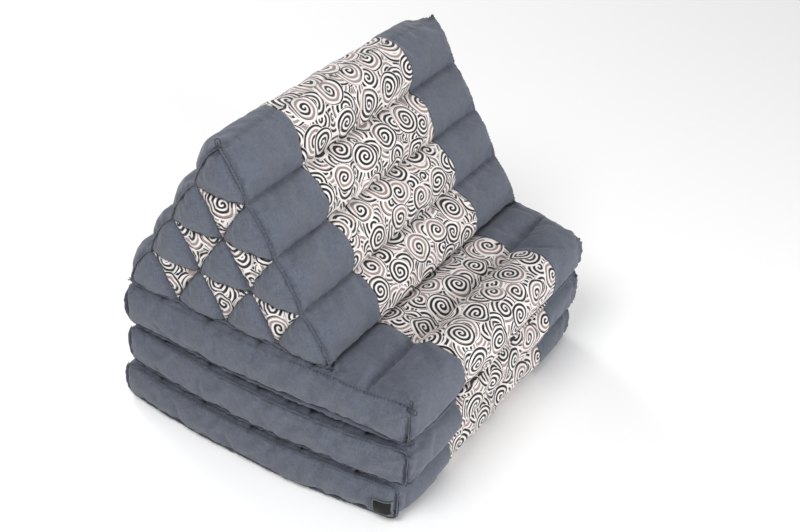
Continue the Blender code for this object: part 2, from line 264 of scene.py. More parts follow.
def side_panel(mat, rim):
    """Y and Z of a side panel's grid, spanned between its four edges. rim is the end seam's section."""
    j, k = np.meshgrid(range(DEPTH_STEPS + 1), range(HEIGHT_STEPS + 1), indexing="ij")
    u, v = (j / DEPTH_STEPS)[..., None], (k / HEIGHT_STEPS)[..., None]
    upper = rim[DEPTH_STEPS - j]
    lower = rim[DEPTH_STEPS + HEIGHT_STEPS + j]
    front = rim[DEPTH_STEPS + HEIGHT_STEPS - k]
    back = rim[(2 * DEPTH_STEPS + HEIGHT_STEPS + k) % AROUND_STEPS]
    corners = (1 - u) * ((1 - v) * lower[:1] + v * upper[:1]) + u * ((1 - v) * lower[-1:] + v * upper[-1:])
    return (1 - v) * lower + v * upper + (1 - u) * front + u * back - corners


def subdivided_box(steps):
    """A unit cube of that many faces along each axis."""
    bm = bmesh.new()
    bmesh.ops.create_cube(bm, size=1.0)
    for axis in range(3):
        rails = [e for e in bm.edges if abs(e.verts[0].co[axis] - e.verts[1].co[axis]) > 0.9]
        bmesh.ops.subdivide_edges(bm, edges=rails, cuts=steps[axis] - 1, use_grid_fill=True)
    return bm


HANDMADE = 0.0016  # how far the hand-filled shape strays from the drawn one
noise.seed_set(8)  # noise_vector's offsets are drawn from this, and so are the same in every run


def strayed(point, reach=HANDMADE):
    return point + noise.noise_vector(point * 14) * reach + noise.noise_vector(point * 37) * reach * 0.35


def place_on_mat(mat, point):
    return Matrix.Rotation(math.radians(mat.turn_deg), 3, "Z") @ point + Vector((mat.shift_x, mat.shift_y, 0)) + SHIFT


def add_point_values(mesh, name, values):
    layer = mesh.attributes.new(name, "FLOAT", "POINT")
    layer.data.foreach_set("value", np.array(values, dtype=np.float32))


FAR_FROM_SEAM = 0.08
GAPE = 0.0085  # how far the seams of the top and the middle mat stand apart at the near end
GAPE_MIDDLE, GAPE_REACH = -0.10, 0.13  # along Y
FAR_CORNER = 0.0090  # how far the front corners at the other end are pushed in
FAR_ROUND = 0.0180  # and the top mat's upper one besides
FAR_LIFT = 0.0060  # how much fuller the top mat is there


def gape(mat, x, yz):
    """Moves the near end's seams between the top and the middle mat apart, by a height for each point."""
    middle, half = (mat.low + mat.top) / 2, (mat.top - mat.low) / 2
    up = np.clip((yz[:, 1] - middle) / half, -1, 1)
    share = {"top": np.clip(-up, 0, 1), "middle": -0.6 * np.clip(up, 0, 1)}.get(mat.name, np.zeros(len(up)))
    near = np.clip(1 - (HALF_SEAM + x) / 0.06, 0, 1) * (x < 0)
    lift = (mat.name == "top") * FAR_LIFT * np.clip(up, 0, 1) * np.clip((x - 0.10) / 0.12, 0, 1)
    lift *= np.clip((-yz[:, 0] - 0.10) / 0.05, 0, 1) * np.clip((yz[:, 0] + 0.25) / 0.05, 0, 1)
    return lift + GAPE * share * near * np.exp(-(((yz[:, 0] - GAPE_MIDDLE) / GAPE_REACH) ** 2))


def build_mat_body(mat):
    """A mat before it is filled: its shape, the lie of its cloth as UV, and how far each point is from a seam."""
    bm = subdivided_box((X_STEPS, DEPTH_STEPS, HEIGHT_STEPS))
    bm.verts.ensure_lookup_table()
    spots = np.rint((np.array([v.co for v in bm.verts]) + 0.5) * (X_STEPS, DEPTH_STEPS, HEIGHT_STEPS)).astype(int)
    i, j, k = spots.T
    around = np.select(
        (k == HEIGHT_STEPS, j == 0, k == 0, j == DEPTH_STEPS),
        (
            DEPTH_STEPS - j,
            DEPTH_STEPS + HEIGHT_STEPS - k,
            DEPTH_STEPS + HEIGHT_STEPS + j,
            (2 * DEPTH_STEPS + HEIGHT_STEPS + k) % AROUND_STEPS,
        ),
        -1,
    )
    sections = np.array([mat_section(mat, abs(x) - HALF_SEAM) for x in X_STATIONS])
    bow_share = np.interp(np.abs(X_STATIONS) - HALF_SEAM, MAT_SECTIONS[:, 0], MAT_SECTIONS[:, 5])
    panel = side_panel(mat, sections[0])
    on_panel = around < 0
    yz = np.where(on_panel[:, None], panel[j, k], sections[i, around])
    side = np.sign(X_STATIONS[i])
    out = end_bow(mat, yz[:, 0]) * bow_share[i] + np.where(on_panel, panel_swell(mat, yz[:, 0], yz[:, 1]), 0)
    x = X_STATIONS[i] + side * out
    yz[:, 1] += gape(mat, x, yz)
    far_front = np.clip((-yz[:, 0] - 0.12) / 0.12, 0, 1) * np.clip(1 - (HALF_SEAM - x) / 0.08, 0, 1)
    upper = (mat.name == "top") * np.clip((yz[:, 1] - mat.low) / (mat.top - mat.low) - 0.3, 0, 1) ** 2 * 2
    x = x - (FAR_CORNER + FAR_ROUND * upper) * far_front
    for v, px, (py, pz) in zip(bm.verts, x, yz):
        v.co = place_on_mat(mat, strayed(Vector((px, py, pz))))

    middle_section = sections[X_STEPS // 2]
    steps_long = np.linalg.norm(np.diff(middle_section, axis=0, append=middle_section[:1]), axis=1)
    length = np.concatenate(([0], np.cumsum(steps_long)))
    seams = RIM_STEPS + CHANNEL_STEPS * np.arange(INNER_CHANNELS + 1)
    seams = np.concatenate((seams, seams + DEPTH_STEPS + HEIGHT_STEPS))
    channel_gap = np.abs(length[around][:, None] - length[seams]).min(axis=1)
    channel_gap[on_panel] = FAR_FROM_SEAM
    panel_inset = np.minimum(
        np.minimum(j, DEPTH_STEPS - j) * SEAM_WIDTH / X_STEPS,
        np.minimum(k, HEIGHT_STEPS - k) * (mat.top - mat.low) / HEIGHT_STEPS,
    )
    end_gap = np.where(on_panel, panel_inset, HALF_SEAM - np.abs(X_STATIONS[i]))

    uv = bm.loops.layers.uv.new("cloth")
    for face in bm.faces:
        spots_here = [vert.index for vert in face.verts]
        face.smooth = True
        ends = {i[n] for n in spots_here}
        if ends == {0} or ends == {X_STEPS}:
            for loop in face.loops:
                loop[uv].uv = yz[loop.vert.index]
            continue
        printed = min(ends) >= GREY_STEPS and max(ends) <= X_STEPS - GREY_STEPS
        face.material_index = int(printed)
        wraps = max(around[n] for n in spots_here) - min(around[n] for n in spots_here) > WRAP_STEPS
        for loop in face.loops:
            n = loop.vert.index
            turn = length[-1] if wraps and around[n] < WRAP_STEPS else 0
            loop[uv].uv = X_STATIONS[i[n]], length[around[n]] + turn
    bmesh.ops.recalc_face_normals(bm, faces=bm.faces)
    mesh = bpy.data.meshes.new(f"body_{mat.name}")
    bm.to_mesh(mesh)
    bm.free()
    add_point_values(mesh, "channel_gap", channel_gap)
    add_point_values(mesh, "end_gap", end_gap)
    body = link_object(f"body_{mat.name}", mesh)
    sewn = body.vertex_groups.new(name="sewn")
    sewn.add([n for n in range(len(i)) if channel_gap[n] < 1e-6 or end_gap[n] < 1e-6], 1.0, "REPLACE")
    return body


FILL_PRESSURE = 4.0
FILL_FRAMES = 20
SPARE_CLOTH = 0.035  # more cloth than the shape needs, so that it gathers at its seams


def fill_with_kapok(bodies, caps):
    """Blows up each body against its seams, and lets no point move further than its cap."""
    starts = {}
    for body in bodies:
        count = len(body.data.vertices)
        start = np.empty(count * 3, np.float32)
        body.data.vertices.foreach_get("co", start)
        starts[body.name] = start.reshape(-1, 3)
        cloth = body.modifiers.new("filling", "CLOTH")
        cloth.settings.quality = 5
        cloth.settings.mass = 0.25
        cloth.settings.tension_stiffness = 20
        cloth.settings.compression_stiffness = 20
        cloth.settings.shear_stiffness = 8
        cloth.settings.bending_stiffness = 0.4
        cloth.settings.air_damping = 2.0
        cloth.settings.use_pressure = True
        cloth.settings.uniform_pressure_force = FILL_PRESSURE
        cloth.settings.shrink_min = -SPARE_CLOTH
        cloth.settings.vertex_group_mass = "sewn"
        cloth.settings.effector_weights.gravity = 0
        cloth.collision_settings.use_collision = False
        cloth.collision_settings.use_self_collision = False
        cloth.point_cache.frame_start = 1
        cloth.point_cache.frame_end = FILL_FRAMES
    for number in range(1, FILL_FRAMES + 1):
        bpy.context.scene.frame_set(number)
    graph = bpy.context.evaluated_depsgraph_get()
    for body, cap in zip(bodies, caps):
        filled = body.evaluated_get(graph)
        end = np.empty(len(body.data.vertices) * 3, np.float32)
        filled.data.vertices.foreach_get("co", end)
        moved = end.reshape(-1, 3) - starts[body.name]
        reach = np.linalg.norm(moved, axis=1, keepdims=True)
        capped = moved * np.minimum(1, cap / np.maximum(reach, 1e-9))
        body.modifiers.clear()
        body.data.vertices.foreach_set("co", (starts[body.name] + capped).astype(np.float32).ravel())
        body.data.update()
    bpy.context.scene.frame_set(1)


def press_flat(body, low, high, bare_y=None, bare_high=None):
    """Keeps a body between what lies under it and what lies on it, which ends at bare_y."""
    for v in body.data.vertices:
        limit = high
        if bare_y is not None:
            limit = np.interp(v.co.y, (bare_y - 0.02, bare_y), (bare_high, high))
        v.co.z = min(max(v.co.z, low), limit)


# Wedge: ten three-cornered tubes of grey cotton, one, two, three and four to a row, sewn to each other along
# their edges and stuffed hard with kapok. A printed band goes round their outer sides, and each end is a
# lattice of grey tube ends and small printed triangles.

TUBE_ROWS = 4
WEDGE_BASE = 0.346
WEDGE_HEIGHT = 0.277
WEDGE_BACK = 0.2325  # Y of the wedge's lower back seam
WEDGE_LOW = MATS[-1].top + 0.0003
SEAM_LIFT = 0.0030  # of the lower seams above the flat underside
FLOOR_SAG = 0.0070
INNER_SAG = 0.0030
END_CROWN = 0.0095  # how far a grey tube end swells
CROWN_POWER = 0.6
TUBE_FULLNESS = 2.5  # 2 bows a side evenly, and more fills it out towards its seams
LATTICE_STEPS = 16  # along a side of one triangle
TUBE_FACE = 0.0055  # metres of cloth to a step round the wedge

# Sections of the wedge's end: outset from the end seam, the bow of its tubes in front, how far their creases
# are drawn in, how far the top edge is lowered, and the bow of its tubes behind, where they are stuffed fuller.
WEDGE_SECTIONS = np.array(
    (
        (-HALF_SEAM, 0.0145, 0.0025, -0.0070, 0.0250),
        (-0.0800, 0.0145, 0.0025, -0.0050, 0.0250),
        (-0.0450, 0.0160, 0.0025, -0.0025, 0.0260),
        (-0.0200, 0.0165, 0.0018, -0.0010, 0.0250),
        (-0.0060, 0.0120, 0.0008, 0.0000, 0.0170),
        (0.0000, 0.0050, 0.0000, 0.0000, 0.0060),
    )
)


def tube_node(row, place, draw, ridge):
    """Where tubes meet in the wedge's section. place counts from the front."""
    pitch = WEDGE_BASE / TUBE_ROWS
    y = WEDGE_BACK - WEDGE_BASE / 2 + pitch * (place - row / 2)
    z = WEDGE_LOW + SEAM_LIFT + (WEDGE_HEIGHT - SEAM_LIFT - ridge * (row == 0)) * (1 - row / TUBE_ROWS)
    if row in (0, TUBE_ROWS):
        return Vector((y, z))
    return Vector((y + draw * ((place == 0) - (place == row)), z - draw / 2))


def lattice_cell(row, place):
    """The triangle that holds a spot of the lattice: its first corner, whether it hangs, and its shares."""
    r = min(int(row + 1e-6), TUBE_ROWS - 1)
    q = min(int(place + 1e-6), r)
    down, along = row - r, place - q
    if along <= down + 1e-6:
        return r, q, False, (1 - down, down - along, along)
    return r, q, True, (1 - along, along - down, down)


def wedge_point(row, place, station):
    """Y, Z and swell of a spot of the wedge: bowed towards the outside along each side of its triangle."""
    outset = abs(station) - HALF_SEAM
    bow, draw, ridge, back_bow = (np.interp(outset, WEDGE_SECTIONS[:, 0], column) for column in WEDGE_SECTIONS.T[1:])
    r, q, hangs, shares = lattice_cell(row, place)
    if hangs:
        nodes = (r, q), (r, q + 1), (r + 1, q + 1)
        sags = FLOOR_SAG, INNER_SAG, INNER_SAG
    else:
        nodes = (r, q), (r + 1, q), (r + 1, q + 1)
        sags = bow if q == 0 else INNER_SAG, FLOOR_SAG, back_bow if q == r else INNER_SAG
    corners = [tube_node(*node, draw, ridge) for node in nodes]
    spot = sum((share * corner for share, corner in zip(shares, corners)), Vector((0, 0)))
    for side, sag in enumerate(sags):
        start, end = corners[side], corners[(side + 1) % 3]
        along = shares[side] + shares[(side + 1) % 3]
        if along > 1e-9:
            part = shares[(side + 1) % 3] / along
            run = (end - start).normalized()
            spot += Vector((run.y, -run.x)) * sag * (1 - abs(2 * part - 1) ** TUBE_FULLNESS) * along**2
    swell = 0 if hangs else END_CROWN * max(0, 27 * shares[0] * shares[1] * shares[2]) ** CROWN_POWER
    return spot.x, max(spot.y, WEDGE_LOW), swell


def lattice_order(element):
    """A number for each part of the straight lattice, as the extrusion leaves them in no fixed order."""
    x, y, z = element.co if isinstance(element, bmesh.types.BMVert) else sum((v.co for v in element.verts), Vector())
    return x * 1e6 + y * 1e3 + z


def build_wedge_body():
    """The wedge before it is filled: a lattice of triangles, drawn out along X and bowed."""
    bm = bmesh.new()
    corners = [bm.verts.new((-0.5, y, z)) for y, z in ((0, 0), (-TUBE_ROWS / 2, -TUBE_ROWS), (TUBE_ROWS / 2, -TUBE_ROWS))]
    bm.faces.new(corners)
    bmesh.ops.subdivide_edges(bm, edges=bm.edges, cuts=TUBE_ROWS * LATTICE_STEPS - 1, use_grid_fill=True)
    far_end = bmesh.ops.extrude_face_region(bm, geom=bm.faces[:], use_keep_orig=True)["geom"]
    bmesh.ops.translate(bm, verts=[v for v in far_end if isinstance(v, bmesh.types.BMVert)], vec=(1, 0, 0))
    rails = [e for e in bm.edges if abs(e.verts[0].co.x - e.verts[1].co.x) > 0.9]
    bmesh.ops.subdivide_edges(bm, edges=rails, cuts=X_STEPS - 1, use_grid_fill=True)
    for elements in (bm.verts, bm.edges, bm.faces):
        elements.sort(key=lattice_order)
    bm.verts.ensure_lookup_table()
    bm.verts.index_update()

    lattice = []
    for v in bm.verts:
        row = -v.co.z
        lattice.append((round((v.co.x + 0.5) * X_STEPS), row, v.co.y + row / 2))
    channel_gap, end_gap, spots = [], [], []
    around = {}
    for number, (i, row, place) in enumerate(lattice):
        station = X_STATIONS[i]
        y, z, swell = wedge_point(row, place, station)
        shares = lattice_cell(row, place)[3]
        on_end = i in (0, X_STEPS)
        side = math.copysign(1, station)
        spots.append(Vector((station + side * swell * on_end, y, z)))
        if place < 1e-6:
            around[number] = row * LATTICE_STEPS
        elif row > TUBE_ROWS - 1e-6:
            around[number] = (TUBE_ROWS + place) * LATTICE_STEPS
        elif abs(place - row) < 1e-6:
            around[number] = (3 * TUBE_ROWS - row) * LATTICE_STEPS
        spread = sorted(shares)
        end_gap.append(spread[0] * 0.07 if on_end else HALF_SEAM - abs(station))
        channel_gap.append(FAR_FROM_SEAM if on_end and spread[0] > 1e-6 else spread[1] * WEDGE_BASE / TUBE_ROWS)

    uv = bm.loops.layers.uv.new("cloth")
    cell = bm.faces.layers.int.new("cell")
    for face in bm.faces:
        face.smooth = True
        numbers = [v.index for v in face.verts]
        ends = {lattice[n][0] for n in numbers}
        if ends == {0} or ends == {X_STEPS}:
            row = sum(lattice[n][1] for n in numbers) / len(numbers)
            place = sum(lattice[n][2] for n in numbers) / len(numbers)
            r, q, hangs, _ = lattice_cell(row, place)
            if hangs:
                face[cell] = 10 * r + q + 1
            for loop in face.loops:
                loop[uv].uv = spots[loop.vert.index].yz
            continue
        face.material_index = int(min(ends) >= GREY_STEPS and max(ends) <= X_STEPS - GREY_STEPS)
        wraps = max(around[n] for n in numbers) - min(around[n] for n in numbers) > LATTICE_STEPS
        for loop in face.loops:
            n = loop.vert.index
            turn = 3 * TUBE_ROWS * LATTICE_STEPS if wraps and around[n] < LATTICE_STEPS else 0
            loop[uv].uv = X_STATIONS[lattice[n][0]] + 0.011, (around[n] + turn) * TUBE_FACE
    for v, spot in zip(bm.verts, spots):
        v.co = strayed(spot, HANDMADE * 0.8) + SHIFT
    bmesh.ops.recalc_face_normals(bm, faces=bm.faces)
    mesh = bpy.data.meshes.new("body_wedge")
    bm.to_mesh(mesh)
    bm.free()
    add_point_values(mesh, "channel_gap", channel_gap)
    add_point_values(mesh, "end_gap", end_gap)
    body = link_object("body_wedge", mesh)
    sewn = body.vertex_groups.new(name="sewn")
    held = [n for n, (a, b) in enumerate(zip(channel_gap, end_gap)) if a < 1e-6 or b < 1e-6]
    sewn.add(held, 1.0, "REPLACE")
    return body


BODIES = [build_mat_body(mat) for mat in MATS]
WEDGE_BODY = build_wedge_body()
MAT_CAP, WEDGE_CAP = 0.0050, 0.0055
fill_with_kapok([*BODIES, WEDGE_BODY], [MAT_CAP] * 3 + [WEDGE_CAP])

CONTACT = 0.0001  # left between two pieces that press on each other
for mat, body in zip(MATS, BODIES):
    if mat.name == "top":
        wedge_front = WEDGE_BACK - WEDGE_BASE + SHIFT.y
        press_flat(body, mat.low + CONTACT, mat.top - CONTACT, wedge_front, mat.top + 0.0105)
    else:
        press_flat(body, mat.low + CONTACT, mat.top - CONTACT)
press_flat(WEDGE_BODY, WEDGE_LOW, WEDGE_LOW + WEDGE_HEIGHT + 0.017)

PULL = 0.0034  # the thread draws a channel seam in by this much
for body in [*BODIES, WEDGE_BODY]:
    bm = bmesh.new()
    bm.from_mesh(body.data)
    channel_layer, end_layer = (bm.verts.layers.float[name] for name in ("channel_gap", "end_gap"))
    for v in bm.verts:
        at_end = max(0.0, 1 - v[end_layer] / 0.012)
        v.co -= v.normal * PULL * math.exp(-v[channel_layer] / 0.0045) * (1 - at_end)
    bm.to_mesh(body.data)
    bm.free()

# Grey cotton: piece-dyed plain-weave canvas, washed soft. It has no shine beyond a faint fuzz at grazing
# angles, and shows fine slubs, slightly paler rubbed folds and gathered cloth beside its seams. Within 6 mm
# of a seam its colour is darkened as painted shade, for the shade that falls in the seam's crease.

GREY = "#4f5460"
SLUB_LENGTH, SLUB_WIDTH = 0.010, 0.0016  # metres; threads of 0.4 mm are drawn as these coarser slubs


def cloth_shader(name, roughness):
    """An empty cotton material with its shader, UV map and the distance to the nearest seam."""
    material = bpy.data.materials.new(name)
    material.use_nodes = True
    tree = material.node_tree
    shader = tree.nodes["Principled BSDF"]
    shader.inputs["Roughness"].default_value = roughness
    shader.inputs["Specular IOR Level"].default_value = 0.22
    shader.inputs["Sheen Weight"].default_value = 0.18
    shader.inputs["Sheen Roughness"].default_value = 0.6
    uv = add_node(tree, "ShaderNodeUVMap", uv_map="cloth").outputs["UV"]
    channel = add_node(tree, "ShaderNodeAttribute", attribute_name="channel_gap").outputs["Fac"]
    end = add_node(tree, "ShaderNodeAttribute", attribute_name="end_gap").outputs["Fac"]
    return material, tree, shader, uv, channel, end


def weave_bump(tree, uv, channel, end, strength):
    """Slubs of the weave, and the gathers that run square to the nearest seam."""
    slubs = []
    for scale in ((1 / SLUB_LENGTH, 1 / SLUB_WIDTH, 1), (1 / SLUB_WIDTH, 1 / SLUB_LENGTH, 1)):
        laid = add_node(tree, "ShaderNodeMapping", {"Vector": uv, "Scale": scale}).outputs[0]
        slubs.append(add_node(tree, "ShaderNodeTexNoise", {"Vector": laid, "Scale": 1.0, "Detail": 2.0}).outputs["Fac"])
    weave = add_node(tree, "ShaderNodeMath", {0: slubs[0], 1: slubs[1]}, operation="ADD").outputs[0]
    height = add_node(tree, "ShaderNodeMath", {0: weave, 1: 0.00045}, operation="MULTIPLY").outputs[0]
    for gap, scale in ((channel, (190, 26, 1)), (end, (26, 190, 1))):
        laid = add_node(tree, "ShaderNodeMapping", {"Vector": uv, "Scale": scale}).outputs[0]
        folds = add_node(tree, "ShaderNodeTexNoise", {"Vector": laid, "Scale": 1.0, "Detail": 1.5}).outputs["Fac"]
        near = add_node(
            tree, "ShaderNodeMapRange", {"Value": gap, "From Min": 0.0, "From Max": 0.014, "To Min": 0.0016, "To Max": 0.0}
        ).outputs[0]
        fold = add_node(tree, "ShaderNodeMath", {0: folds, 1: near}, operation="MULTIPLY").outputs[0]
        height = add_node(tree, "ShaderNodeMath", {0: height, 1: fold}, operation="ADD").outputs[0]
    bump = add_node(tree, "ShaderNodeBump", {"Height": height, "Strength": strength, "Distance": 1.0})
    return bump.outputs["Normal"], weave


grey_cotton, tree, shader, uv, channel, end = cloth_shader("grey_cotton_canvas", 0.92)
bump, weave = weave_bump(tree, uv, channel, end, 0.8)
mottle = add_node(tree, "ShaderNodeTexNoise", {"Vector": uv, "Scale": 30.0, "Detail": 2.0}).outputs["Fac"]
mixed = add_node(tree, "ShaderNodeMath", {0: mottle, 1: 0.35, 2: weave}, operation="MULTIPLY_ADD").outputs[0]
tone = add_node(
    tree, "ShaderNodeMapRange", {"Value": mixed, "From Min": 0.8, "From Max": 1.55, "To Min": 0.72, "To Max": 1.28}
).outputs[0]
# Painted shade: the colour falls to 0.72 times at a seam, over 6 mm, for the shade in the seams' creases.
nearest = add_node(tree, "ShaderNodeMath", {0: channel, 1: end}, operation="MINIMUM").outputs[0]
shade = add_node(
    tree, "ShaderNodeMapRange", {"Value": nearest, "From Min": 0.0, "From Max": 0.006, "To Min": 0.72, "To Max": 1.0}
).outputs[0]
total = add_node(tree, "ShaderNodeMath", {0: tone, 1: shade}, operation="MULTIPLY").outputs[0]
colour = add_node(tree, "ShaderNodeVectorMath", {0: linear(GREY)[:3], "Scale": total}, operation="SCALE").outputs[0]
tree.links.new(colour, shader.inputs["Base Color"])
tree.links.new(bump, shader.inputs["Normal"])

# Printed cotton: the same canvas, off-white, screen-printed with overlapping discs. Each disc holds a
# charcoal coil, a taupe ring and part of a charcoal rim. The ink lies in the weave, so it is as matt.

GROUND, TAUPE, CHARCOAL = "#dad4d2", "#8c7c77", "#101113"
DISC_CELL = 0.057  # metres from disc to disc in one layer of discs
LINE_PITCH = 0.0071  # from one turn of a coil to the next
# turned by, moved by: each layer lies over the ones before it
DISC_LAYERS = (
    (0.35, (0.13, 0.71)),
    (1.10, (0.62, 0.28)),
    (2.05, (0.35, 0.05)),
    (0.80, (0.81, 0.52)),
    (1.62, (0.22, 0.90)),
    (2.60, (0.55, 0.44)),
    (0.10, (0.07, 0.33)),
)

printed_cotton, tree, shader, uv, channel, end = cloth_shader("printed_cotton_canvas", 0.90)
bump, weave = weave_bump(tree, uv, channel, end, 0.7)
ink = add_node(tree, "ShaderNodeVectorMath", {0: linear(TAUPE)[:3]}, operation="ABSOLUTE").outputs[0]
for layer, (turned, moved) in enumerate(DISC_LAYERS):
    grid = add_node(
        tree,
        "ShaderNodeMapping",
        {"Vector": uv, "Location": (*moved, 0), "Rotation": (0, 0, turned), "Scale": (1 / DISC_CELL,) * 3},
    ).outputs[0]
    number = add_node(tree, "ShaderNodeVectorMath", {0: grid}, operation="FLOOR").outputs[0]
    local = add_node(tree, "ShaderNodeVectorMath", {0: grid}, operation="FRACTION").outputs[0]
    key = add_node(tree, "ShaderNodeVectorMath", {0: number, 1: (layer * 17.3, layer * 5.1, 3.7)}, operation="ADD").outputs[0]
    chance = add_node(tree, "ShaderNodeTexWhiteNoise", {"Vector": key}, noise_dimensions="3D").outputs["Color"]
    other_key = add_node(tree, "ShaderNodeVectorMath", {0: key, 1: (91.7, 43.1, 9.3)}, operation="ADD").outputs[0]
    other = add_node(tree, "ShaderNodeTexWhiteNoise", {"Vector": other_key}, noise_dimensions="3D").outputs["Color"]
    jitter = add_node(tree, "ShaderNodeVectorMath", {0: chance, 1: (-0.10, -0.10, 0), 2: (-0.45, -0.45, 0)}, operation="MULTIPLY_ADD").outputs[0]
    from_middle = add_node(tree, "ShaderNodeVectorMath", {0: local, 1: jitter}, operation="ADD").outputs[0]
    flat = add_node(tree, "ShaderNodeVectorMath", {0: from_middle, 1: (1, 1, 0)}, operation="MULTIPLY").outputs[0]
    reach = add_node(tree, "ShaderNodeVectorMath", {0: flat}, operation="LENGTH").outputs["Value"]
    part = add_node(tree, "ShaderNodeSeparateXYZ", {0: flat})
    drawn = add_node(tree, "ShaderNodeSeparateXYZ", {0: chance})
    kind = add_node(tree, "ShaderNodeSeparateXYZ", {0: other})
    angle = add_node(tree, "ShaderNodeMath", {0: part.outputs[1], 1: part.outputs[0]}, operation="ARCTAN2").outputs[0]
    half_way = add_node(tree, "ShaderNodeMath", {0: kind.outputs[0], 1: 0.5}, operation="SUBTRACT").outputs[0]
    sense = add_node(tree, "ShaderNodeMath", {0: half_way}, operation="SIGN").outputs[0]
    share = add_node(tree, "ShaderNodeMath", {0: sense, 1: 1 / math.tau}, operation="MULTIPLY").outputs[0]
    wound = add_node(tree, "ShaderNodeMath", {0: angle, 1: share}, operation="MULTIPLY").outputs[0]
    turns = add_node(tree, "ShaderNodeMath", {0: reach, 1: DISC_CELL / LINE_PITCH, 2: wound}, operation="MULTIPLY_ADD").outputs[0]
    wave = add_node(tree, "ShaderNodeMath", {0: turns, 1: 0.5}, operation="PINGPONG").outputs[0]
    line = add_node(
        tree, "ShaderNodeMapRange", {"Value": wave, "From Min": 0.25, "From Max": 0.30, "To Min": 1.0, "To Max": 0.0}
    ).outputs[0]
    count = add_node(tree, "ShaderNodeMath", {0: turns}, operation="ROUND").outputs[0]
    inner_turns = add_node(
        tree, "ShaderNodeMapRange", {"Value": kind.outputs[1], "From Min": 0.0, "From Max": 1.0, "To Min": 1.2, "To Max": 2.9}
    ).outputs[0]
    past = add_node(tree, "ShaderNodeMath", {0: count, 1: inner_turns}, operation="GREATER_THAN").outputs[0]
    radius = add_node(
        tree, "ShaderNodeMapRange", {"Value": drawn.outputs[2], "From Min": 0.0, "From Max": 1.0, "To Min": 0.34, "To Max": 0.455}
    ).outputs[0]
    bare_rim = add_node(tree, "ShaderNodeMath", {0: radius, 1: 0.014}, operation="SUBTRACT").outputs[0]
    within = add_node(tree, "ShaderNodeMath", {0: reach, 1: bare_rim}, operation="LESS_THAN").outputs[0]
    line = add_node(tree, "ShaderNodeMath", {0: line, 1: within}, operation="MULTIPLY").outputs[0]
    rim_start = add_node(tree, "ShaderNodeMath", {0: radius, 1: 0.080}, operation="SUBTRACT").outputs[0]
    on_rim = add_node(tree, "ShaderNodeMath", {0: reach, 1: rim_start}, operation="GREATER_THAN").outputs[0]
    off_rim = add_node(tree, "ShaderNodeMath", {0: 1.0, 1: on_rim}, operation="SUBTRACT").outputs[0]
    taupe_here = add_node(tree, "ShaderNodeMath", {0: past, 1: off_rim}, operation="MULTIPLY").outputs[0]
    line_colour = add_node(
        tree, "ShaderNodeMix", {0: taupe_here, 6: linear(CHARCOAL), 7: linear(TAUPE)}, data_type="RGBA"
    ).outputs[2]
    disc = add_node(tree, "ShaderNodeMix", {0: line, 6: linear(GROUND), 7: line_colour}, data_type="RGBA").outputs[2]
    inside = add_node(tree, "ShaderNodeMath", {0: reach, 1: radius}, operation="LESS_THAN").outputs[0]
    ink = add_node(tree, "ShaderNodeMix", {0: inside, 6: ink, 7: disc}, data_type="RGBA").outputs[2]
# Painted shade: the print is darkened the same way within 6 mm of a seam, for the shade in the seams' creases.
nearest = add_node(tree, "ShaderNodeMath", {0: channel, 1: end}, operation="MINIMUM").outputs[0]
shade = add_node(
    tree, "ShaderNodeMapRange", {"Value": nearest, "From Min": 0.0, "From Max": 0.006, "To Min": 0.72, "To Max": 1.0}
).outputs[0]
colour = add_node(tree, "ShaderNodeVectorMath", {0: ink, "Scale": shade}, operation="SCALE").outputs[0]
tree.links.new(colour, shader.inputs["Base Color"])
tree.links.new(bump, shader.inputs["Normal"])

# Each body is cut where the printed band is sewn to the grey ends, and the raw edges are turned in.

TURNED_IN = 0.0070  # of a raw edge, into its own piece
GATHER = 0.0024  # of the fine gathers beside a seam


def end_seam(body, side):
    """The points and outward directions of a body's end seam, in order round it."""
    bm = bmesh.new()
    bm.from_mesh(body.data)
    bm.normal_update()
    end_layer = bm.verts.layers.float["end_gap"]
    walls = {v for f in bm.faces if abs(f.normal.x) < 0.75 for v in f.verts}
    held = set()
    for v in bm.verts:
        if v[end_layer] < 1e-6 and v.co.x * side > 0:
            beside = [e.other_vert(v) for e in v.link_edges]
            if any(w in walls and abs(w.co.x) < abs(v.co.x) and w[end_layer] > 1e-6 for w in beside):
                held.add(v)
    held = {v for v in held if sum(1 for e in v.link_edges if e.other_vert(v) in held) >= 2}
    first = max(held, key=lambda v: v.co.z)
    path, seen = [first], {first}
    while True:
        onward = [e.other_vert(path[-1]) for e in path[-1].link_edges if e.other_vert(path[-1]) in held - seen]
        if not onward:
            break
        onward.sort(key=lambda v: (v.co - path[-1].co).length)
        path.append(onward[0])
        seen.add(onward[0])
    found = [(v.co.copy(), v.normal.copy()) for v in path]
    bm.free()
    return found


# Each end's ridges are knotted off at the wedge's top and lower corners, and at the mats' front corners.
KNOTS = {}
for side, end_name in ((-1, "left"), (1, "right")):
    path = end_seam(WEDGE_BODY, side)
    KNOTS[end_name] = [max(path, key=lambda spot: spot[0].z)]
    KNOTS[end_name] += [max(path, key=lambda spot: sign * spot[0].y - spot[0].z) for sign in (-1, 1)]
    for body in BODIES[1:]:
        path = end_seam(body, side)
        KNOTS[end_name] += [max(path, key=lambda spot: -2 * spot[0].y + sign * spot[0].z) for sign in (-1, 1)]
PUCKER, PUCKER_REACH = 0.0034, 0.014  # of the folds that run out from a knot


